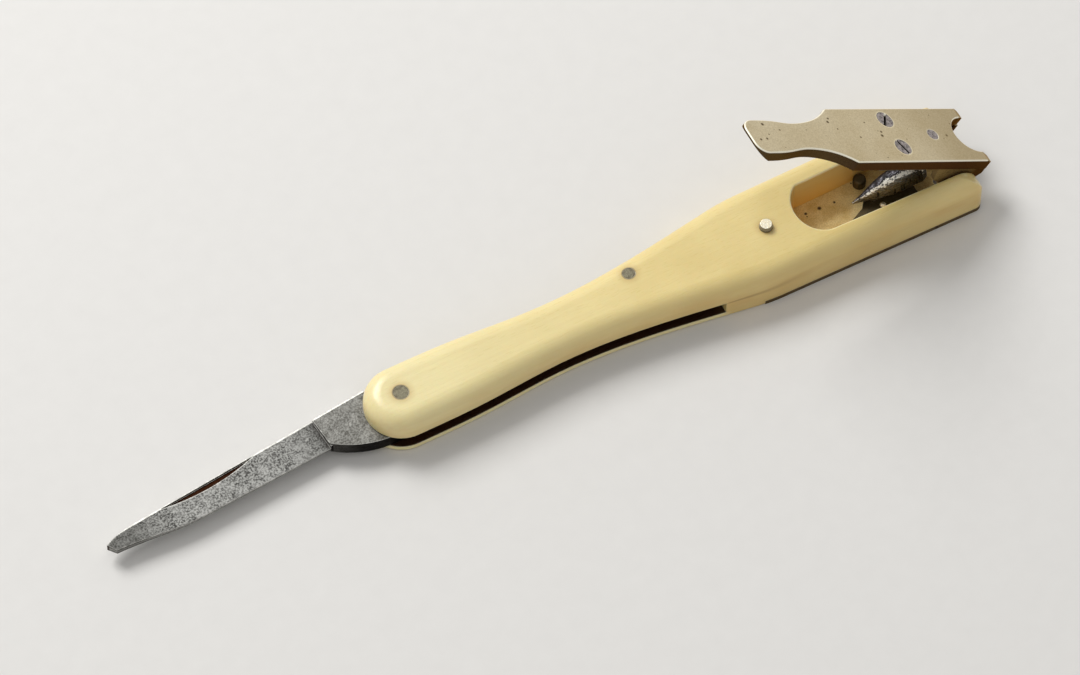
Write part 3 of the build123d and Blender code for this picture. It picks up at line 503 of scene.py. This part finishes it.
# Former: the pointed steel die that the quill is slid over, on a narrow foot. Its crown is
# blotched blue-black and pitted. Along its near shoulder, which the cutter and many quills have
# polished, a ragged band is painted bright as its highlight, set by which way the faces look. The
# lower flank is painted a lighter grey as lit, darker towards the back, with fine lines along it,
# and the near edges carry a painted highlight.
former_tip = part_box("former")[0].x / MM
tree, shader, here, facing = finish_called("pitted_die_steel")
looks_across = apart(tree, facing)[1]
along = apart(tree, here)[0]
lines = laid(tree, clouds, {"Place": stretched(tree, here, (10, 1, 1)), "Size": 0.13, "Spread": 0.1})
blotches = laid(tree, clouds, {"Place": stretched(tree, here, (1.6, 1, 1)), "Size": 0.5, "Spread": 0.1})
jags = laid(tree, clouds, {"Place": stretched(tree, here, (1.8, 1, 1)), "Size": 0.34, "Spread": 0.16})
die_pits = laid(tree, pits, {"Place": here, "Spacing": 0.5, "Share": 0.45, "Radius": 0.17})
colour = stain(tree, tint(74, 72, 76), tint(20, 18, 20), blotches)
ragged = sums(tree, "ADD", looks_across, between(tree, jags, 0, 1, -0.2, 0.2))
# Painted highlight: a ragged bright band along the near shoulder, set by which way the faces look.
shoulder_highlight = only_where(tree, between(tree, ragged, -0.26, -0.36), between(tree, ragged, -0.68, -0.58))
colour = stain(tree, colour, tint(246, 243, 232), sums(tree, "MULTIPLY", shoulder_highlight, 0.95))
# The lower flank painted a lighter grey as lit, darker towards the back, with fine lines.
lower_flank_light = between(tree, ragged, -0.6, -0.7)
to_the_back = between(tree, along, former_tip + 5, former_tip + 11)
lower_flank_light_colour = stain(tree, tint(136, 132, 122), tint(60, 62, 56), to_the_back)
lower_flank_light_colour = stain(tree, lower_flank_light_colour, tint(52, 48, 42), sums(tree, "MULTIPLY", lines, 0.75))
colour = stain(tree, colour, lower_flank_light_colour, lower_flank_light)
colour = stain(tree, colour, tint(26, 22, 20), sums(tree, "MULTIPLY", die_pits, 0.85))
rounded_edges = add(tree, "Group", {"Radius": 0.2}, node_tree=soft_edges).outputs
# Painted highlight along the near edges.
edge_highlight = only_where(tree, rounded_edges["Mask"], between(tree, looks_across, 0.0, -0.4))
colour = stain(tree, colour, tint(244, 240, 228), edge_highlight)
height = sums(tree, "SUBTRACT", sums(tree, "ADD", sums(tree, "MULTIPLY", lines, 0.3), jags), die_pits)
roughness = between(tree, blotches, 0, 1, 0.26, 0.42)
metal = between(tree, shoulder_highlight, 0, 1, 0.75, 0.5)
polish(tree, shader, colour, roughness, dented(tree, height, 0.045, rounded_edges["Normal"]), metal)
dress("pitted_die_steel", "former")

# Hinge frame: sheet brass folded to a bracket, riveted on the plate. Its two ears carry the short
# hinge pins, one a side, so that the quill can pass between them.
tree, shader, here, _ = finish_called("bracket_brass")
blotches = laid(tree, clouds, {"Place": here, "Size": 1.2, "Spread": 0.2})
specks = laid(tree, clouds, {"Place": here, "Size": 0.18, "Spread": 0.1})
colour = stain(tree, tint(206, 180, 118), tint(160, 126, 66), blotches)
colour = stain(tree, colour, tint(232, 212, 160), sums(tree, "MULTIPLY", specks, 0.3))
# Dirt and painted shade in the hollows.
dirt_and_shade = laid(tree, hollow_dirt_and_shade, {"Reach": 1.0, "Start": 0.6})
colour = stain(tree, colour, tint(74, 52, 24), dirt_and_shade)
rounded_edges = add(tree, "Group", {"Radius": 0.12}, node_tree=soft_edges).outputs
colour = stain(tree, colour, tint(240, 222, 172), sums(tree, "MULTIPLY", rounded_edges["Mask"], 0.5))
roughness = between(tree, blotches, 0, 1, 0.4, 0.56)
polish(tree, shader, colour, roughness, dented(tree, specks, 0.01, rounded_edges["Normal"]), 0.65)
dress("bracket_brass", "hinge_frame")

# Lever: nickel silver plate, sawn to a finger tab at one end and a half-round quill notch between
# two horns at the other, with two ears beneath on the hinge pins. The face is satin and speckled,
# with small dark pits and a painted highlight on its top edges. The sawn sides are dark brown,
# part stain and part painted warm shade. The horns' sloped ends are painted darker as shade, the
# underside darker with dirt and painted shade, and the reflections are tinted warm.
lever_slope = math.radians(35)
hinge = middle("hinge_pins")
tab_start = 23.0
lever_top = 5.7
lever_underside = 3.8
horn_slope_start = -2.8
screw_places = ((13.05, 2.33, 1.43), (13.05, -2.93, 1.43), (5.2, 0.0, 0.95))
pit_places = (
    (38.5, -2.2, 0.3), (40.7, 0.63, 0.24), (39.4, 0.5, 0.22), (35.8, -1.1, 0.18), (24.6, -3.2, 0.22),
    (25.1, -2.55, 0.28), (24.0, -1.2, 0.16), (20.4, 0.4, 0.18), (15.5, -0.6, 0.24), (15.8, 0.12, 0.3),
    (17.7, -2.4, 0.16), (2.4, 0.2, 0.26),
)

tree, shader, here, facing = finish_called("satin_nickel_silver")
lever_place = seen_from(tree, here, hinge, (0, -lever_slope, math.pi))
lever_facing = seen_from(tree, facing, (0, 0, 0), (0, -lever_slope, math.pi))
forward, across, rise = apart(tree, lever_place)
looks_up = apart(tree, lever_facing)[2]
face_place = add(tree, "VectorMath", {0: lever_place, 1: (1, 1, 0)}, operation="MULTIPLY").outputs[0]
patches = laid(tree, clouds, {"Place": lever_place, "Size": 7.0, "Spread": 0.22})
specks = laid(tree, clouds, {"Place": lever_place, "Size": 0.17, "Spread": 0.14})
satin_place = stretched(tree, lever_place, (10, 1, 1))
satin = laid(tree, clouds, {"Place": satin_place, "Size": 0.1, "Spread": 0.16})
colour = stain(tree, tint(218, 208, 180), tint(200, 187, 154), patches)
colour = stain(tree, colour, tint(144, 126, 90), sums(tree, "MULTIPLY", specks, 0.32))
colour = stain(tree, colour, tint(224, 214, 186), sums(tree, "MULTIPLY", satin, 0.22))
all_pits = laid(tree, pits, {"Place": face_place, "Spacing": 1.6, "Share": 0.12, "Radius": 0.13})
for pit_forward, pit_across, radius in pit_places:
    wires = {"Place": face_place, "Spot X": pit_forward, "Spot Y": pit_across, "Radius": radius}
    all_pits = sums(tree, "MAXIMUM", all_pits, laid(tree, spot, wires))
colour = stain(tree, colour, tint(58, 42, 24), sums(tree, "MULTIPLY", all_pits, 0.9))
for screw_forward, screw_across, radius in screw_places:
    wires = {
        "Place": lever_place, "Pin X": screw_forward, "Pin Y": screw_across, "Pin Radius": radius,
        "Halo Width": 0.34,
    }
    bright_rim = sums(tree, "MULTIPLY", laid(tree, pin_dirt, wires, "Halo"), 0.6)
    colour = stain(tree, colour, tint(246, 238, 208), bright_rim)
    in_hole = only_where(
        tree,
        laid(tree, pin_dirt, wires, "Ring"),
        between(tree, rise, lever_top - 0.03, lever_top - 0.09),
    )
    colour = stain(tree, colour, tint(10, 7, 4), in_hole)
to_hinge = between(tree, forward, 14.0, 0.0)
colour = stain(tree, colour, tint(146, 131, 98), sums(tree, "MULTIPLY", to_hinge, 0.5))
# Painted shade on the horns' sloped ends.
horn_end_shade = only_where(
    tree,
    between(tree, forward, horn_slope_start + 0.1, horn_slope_start),
    between(tree, looks_up, 0.96, 0.93),
    between(tree, looks_up, 0.7, 0.85),
)
colour = stain(tree, colour, tint(134, 122, 92), sums(tree, "MULTIPLY", horn_end_shade, 0.8))
# Sawn sides: a dark brown stain that also paints in their warm shade.
sawn = between(tree, sums(tree, "ABSOLUTE", looks_up), 0.55, 0.3)
on_tab = between(tree, forward, tab_start, tab_start + 3)
side_stain_and_shade = stain(tree, tint(66, 31, 9), tint(78, 58, 28), on_tab)
on_ear = only_where(
    tree,
    between(tree, rise, lever_underside + 0.05, lever_underside - 0.1),
    between(tree, forward, -2.4, -0.6),
    between(tree, forward, 7, 6),
)
side_stain_and_shade = stain(tree, side_stain_and_shade, tint(156, 136, 90), on_ear)
side_marks = only_where(tree, patches, between(tree, specks, 0, 1, 0.3, 0.8))
side_stain_and_shade = stain(tree, side_stain_and_shade, tint(46, 27, 11), side_marks)
colour = stain(tree, colour, side_stain_and_shade, sums(tree, "MULTIPLY", sawn, 0.96))
# Faces looking down darker: dirt and painted shade.
underside_dirt_and_shade = between(tree, looks_up, -0.5, -0.8)
colour = stain(tree, colour, tint(120, 92, 50), sums(tree, "MULTIPLY", underside_dirt_and_shade, 0.6))
# Dirt and painted shade in the hollows.
dirt_and_shade = laid(tree, hollow_dirt_and_shade, {"Reach": 0.9, "Start": 0.6})
colour = stain(tree, colour, tint(40, 26, 12), dirt_and_shade)
rounded_edges = add(tree, "Group", {"Radius": 0.3}, node_tree=soft_edges).outputs
# Painted highlight on the rounded top edges and the horns' sloped corner.
highlit_corners = only_where(
    tree,
    between(tree, looks_up, 0.985, 0.94),
    between(tree, looks_up, 0.05, 0.2),
    between(tree, forward, horn_slope_start - 0.05, horn_slope_start + 0.05),
)
rounded_corner = only_where(tree, rounded_edges["Mask"], between(tree, looks_up, 0.1, 0.3))
highlit_corners = sums(tree, "MAXIMUM", highlit_corners, rounded_corner)
top_edge_highlight = only_where(tree, highlit_corners, between(tree, rise, lever_top - 0.3, lever_top - 0.2))
colour = stain(tree, colour, tint(255, 251, 232), sums(tree, "MULTIPLY", top_edge_highlight, 0.92))
roughness = between(tree, sums(tree, "ADD", specks, sawn), 0, 2, 0.34, 0.6)
pit_depth = sums(tree, "MULTIPLY", all_pits, 1.5)
height = sums(tree, "SUBTRACT", sums(tree, "MULTIPLY", specks, 0.4), pit_depth)
metal = between(tree, top_edge_highlight, 0, 1, between(tree, sawn, 0, 1, 0.8, 0.95), 0.3)
polish(tree, shader, colour, roughness, dented(tree, height, 0.012, rounded_edges["Normal"]), metal)
# Reflections tinted warm: a painted warm reflection.
shader.inputs["Specular Tint"].default_value = tint(255, 214, 160)
dress("satin_nickel_silver", "lever")

# Cutter screws and slitter rivet: two slotted screws, countersunk flush with the lever's face, hold
# the cutter beneath it, and a plain rivet holds the slitter. Blotched grey steel, black slots.
tree, shader, here, _ = finish_called("blotched_screw_steel")
rise = apart(tree, seen_from(tree, here, hinge, (0, -lever_slope, math.pi)))[2]
blotches = laid(tree, clouds, {"Place": here, "Size": 0.5, "Spread": 0.1})
specks = laid(tree, clouds, {"Place": here, "Size": 0.16, "Spread": 0.08})
colour = stain(tree, tint(150, 138, 136), tint(82, 74, 72), blotches)
colour = stain(tree, colour, tint(204, 198, 194), sums(tree, "MULTIPLY", specks, 0.4))
# Dirt and painted shade in the hollows and in the slots below the lever's face.
dirt_and_shade = laid(tree, hollow_dirt_and_shade, {"Reach": 0.5, "Start": 0.8})
dirt_and_shade = sums(tree, "MAXIMUM", dirt_and_shade, between(tree, rise, lever_top - 0.06, lever_top - 0.14))
colour = stain(tree, colour, tint(8, 5, 3), dirt_and_shade)
rounded_edges = add(tree, "Group", {"Radius": 0.08}, node_tree=soft_edges).outputs
colour = stain(tree, colour, tint(60, 46, 34), sums(tree, "MULTIPLY", rounded_edges["Mask"], 0.8))
height = sums(tree, "ADD", blotches, specks)
roughness = between(tree, blotches, 0, 1, 0.34, 0.5)
metal = between(tree, dirt_and_shade, 0, 1, 0.75, 1.0)
polish(tree, shader, colour, roughness, dented(tree, height, 0.02, rounded_edges["Normal"]), metal)
dress("blotched_screw_steel", "cutter_screws", "slitter_rivet")

# Cutter and slitter: hardened steel beneath the lever. The cutter's nib-shaped channel shears the
# quill against the former, and the thin slitter makes the nib's slit. Ground faces, bright edges.
tree, shader, here, _ = finish_called("ground_steel")
ground = laid(tree, clouds, {"Place": stretched(tree, here, (1, 14, 1)), "Size": 0.12, "Spread": 0.16})
blotches = laid(tree, clouds, {"Place": here, "Size": 1.4, "Spread": 0.2})
colour = stain(tree, tint(118, 116, 112), tint(76, 72, 66), blotches)
colour = stain(tree, colour, tint(158, 156, 150), sums(tree, "MULTIPLY", ground, 0.35))
# Dirt and painted shade in the hollows.
dirt_and_shade = laid(tree, hollow_dirt_and_shade, {"Reach": 0.8, "Start": 0.6})
colour = stain(tree, colour, tint(34, 24, 14), dirt_and_shade)
rounded_edges = add(tree, "Group", {"Radius": 0.1}, node_tree=soft_edges).outputs
colour = stain(tree, colour, tint(226, 224, 216), sums(tree, "MULTIPLY", rounded_edges["Mask"], 0.6))
roughness = between(tree, ground, 0, 1, 0.28, 0.44)
polish(tree, shader, colour, roughness, dented(tree, ground, 0.006, rounded_edges["Normal"]), 0.9)
dress("ground_steel", "cutter_block", "slitter")

# Room: a plain pale floor a hair below the tool, an even white sky and one large soft lamp behind
# the tool, high and a little to its left. Metal sees a brighter sky than the one that lights it, so
# that it doesn't look black.
floor_drop = 0.05 * MM
bpy.ops.mesh.primitive_plane_add(size=3, location=(0, 0, -floor_drop))
floor = bpy.context.object
floor.name = "floor"
tree, shader, here, _ = finish_called("pale_paper")
fibres = laid(tree, clouds, {"Place": here, "Size": 3.0, "Spread": 0.3})
colour = stain(tree, tint(227, 225, 221), tint(224, 222, 218), fibres)
polish(tree, shader, colour, 0.8, dented(tree, fibres, 0.01))
floor.data.materials.append(finishes["pale_paper"])

sky_light = 0.5
sky_in_metal = 0.85
world = bpy.data.worlds.new("even_sky")
bpy.context.scene.world = world
world.use_nodes = True
tree = world.node_tree
ray = add(tree, "LightPath").outputs
seen = sums(tree, "MAXIMUM", ray["Is Camera Ray"], ray["Is Glossy Ray"])
strength = between(tree, seen, 0, 1, sky_light, sky_in_metal)
tree.links.new(strength, tree.nodes["Background"].inputs["Strength"])
tree.nodes["Background"].inputs["Color"].default_value = (1, 1, 1, 1)

lamp_data = bpy.data.lights.new("soft_lamp", "AREA")
lamp_data.shape = "SQUARE"
lamp_data.size = 0.42
lamp_data.energy = 5.8
lamp = bpy.data.objects.new("soft_lamp", lamp_data)
bpy.context.scene.collection.objects.link(lamp)
lamp.location = (-0.16, 0.60, 0.62)
lamp.rotation_euler = (-lamp.location).to_track_quat("-Z", "Y").to_euler()

# Camera: a long lens on a stand, looking down from the near left as the photograph does, with the
# knife's end of the tool nearest to it.
camera_data = bpy.data.cameras.new("photo_view")
camera_data.lens = 212.04
camera_data.sensor_width = 36
camera_data.clip_start = 0.01
camera_data.clip_end = 20
camera = bpy.data.objects.new("photo_view", camera_data)
bpy.context.scene.collection.objects.link(camera)
camera.location = (-0.24126, -0.41530, 0.77146)
camera_aim = Vector((0.24566, 0.46168, -0.85235))
camera.rotation_euler = camera_aim.to_track_quat("-Z", "Y").to_euler()
bpy.context.scene.camera = camera
bpy.context.scene.view_settings.view_transform = "Standard"
